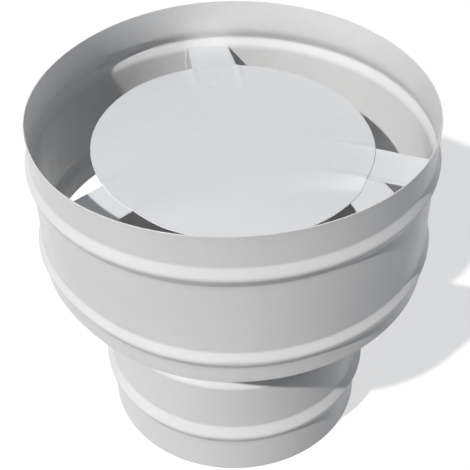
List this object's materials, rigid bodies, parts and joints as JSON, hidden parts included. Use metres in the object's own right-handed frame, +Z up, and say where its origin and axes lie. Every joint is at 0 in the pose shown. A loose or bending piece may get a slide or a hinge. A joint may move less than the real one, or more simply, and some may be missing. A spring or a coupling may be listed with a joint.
{
  "type": "chimney cowl",
  "caption": "Round anti-downdraught chimney cowl: an open outer shell and a flat baffle disc, carried on folded straps above a spigot that slips over a flue pipe.",
  "frame": {"origin": "centre of the spigot's open lower edge, where the flue pipe enters", "axes": "+Z up along the cowl's axis, from the spigot to the open rim of the shell; -Y is the side that the picture shows nearest, +X its right"},
  "size_m": [0.1844, 0.1844, 0.175],
  "materials": {
    "shell_paint": "glossy white coating on thin steel sheet",
    "spigot_paint": "glossy white coating on thin steel sheet",
    "disc_paint": "glossy white coating on thin steel sheet, faintly creased",
    "strap_paint": "glossy white coating on folded steel strip"
  },
  "bodies": {
    "root": {"outer_shell": "shell_paint", "spigot_pipe": "spigot_paint", "baffle_disc": "disc_paint", "strap_rear": "strap_paint", "strap_right": "strap_paint", "strap_left": "strap_paint"}
  },
  "joints": []
}
